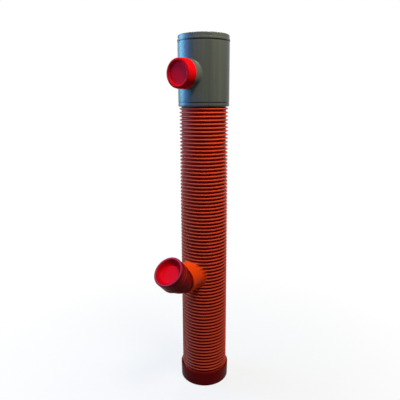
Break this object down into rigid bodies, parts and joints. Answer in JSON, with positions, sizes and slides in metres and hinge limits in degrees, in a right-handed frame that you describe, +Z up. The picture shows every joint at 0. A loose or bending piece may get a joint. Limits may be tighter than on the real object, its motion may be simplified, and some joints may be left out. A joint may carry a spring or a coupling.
{
  "type": "downpipe gully",
  "caption": "Tall ribbed downpipe gully with a turnable capped inlet top, lift-off lid, silt sump and plugged outlet bend.",
  "frame": {"origin": "centre of the flat base, on the riser's axis", "axes": "+Z up along the riser, -X the way the inlet and the outlet point, +Y to the left seen from the inlet side"},
  "size_m": [0.3985, 0.216, 1.5047],
  "materials": {
    "rib_red_brown": "satin red-brown polypropylene",
    "branch_orange": "satin orange polypropylene",
    "fitting_brown": "satin dark red-brown",
    "top_grey": "satin dark grey",
    "cap_red": "satin red polyethylene",
    "seal_rubber": "matt black"
  },
  "bodies": {
    "riser_body": {"riser": "rib_red_brown", "end_cap": "fitting_brown", "base_seal": "seal_rubber", "saddle_branch": "branch_orange", "branch_seal": "seal_rubber", "top_seal": "seal_rubber"},
    "inlet_top": {"top_body": "top_grey", "socket_ring": "top_grey"},
    "lid_body": {"lid": "top_grey"},
    "inlet_cap_body": {"inlet_cap": "cap_red"},
    "bend_body": {"outlet_bend": "fitting_brown", "outlet_seal": "seal_rubber"},
    "outlet_plug_body": {"outlet_plug": "cap_red"}
  },
  "joints": [
    {"name": "top_swivel", "type": "hinge", "parent": "riser_body", "child": "inlet_top", "pos_m": [0, 0, 1.2899], "axis": [0, 0, 1], "continuous": true},
    {"name": "lid_lift", "type": "slide", "parent": "inlet_top", "child": "lid_body", "axis": [0, 0, 1], "range_m": [0, 0.06]},
    {"name": "inlet_cap_pull", "type": "slide", "parent": "inlet_top", "child": "inlet_cap_body", "axis": [-1, 0, 0], "range_m": [0, 0.06]},
    {"name": "outlet_swivel", "type": "hinge", "parent": "riser_body", "child": "bend_body", "pos_m": [-0.156, 0, 0.526], "axis": [-1, 0, 0], "continuous": true},
    {"name": "outlet_plug_pull", "type": "slide", "parent": "bend_body", "child": "outlet_plug_body", "axis": [-0.7071, 0, 0.7071], "range_m": [0, 0.08]}
  ]
}
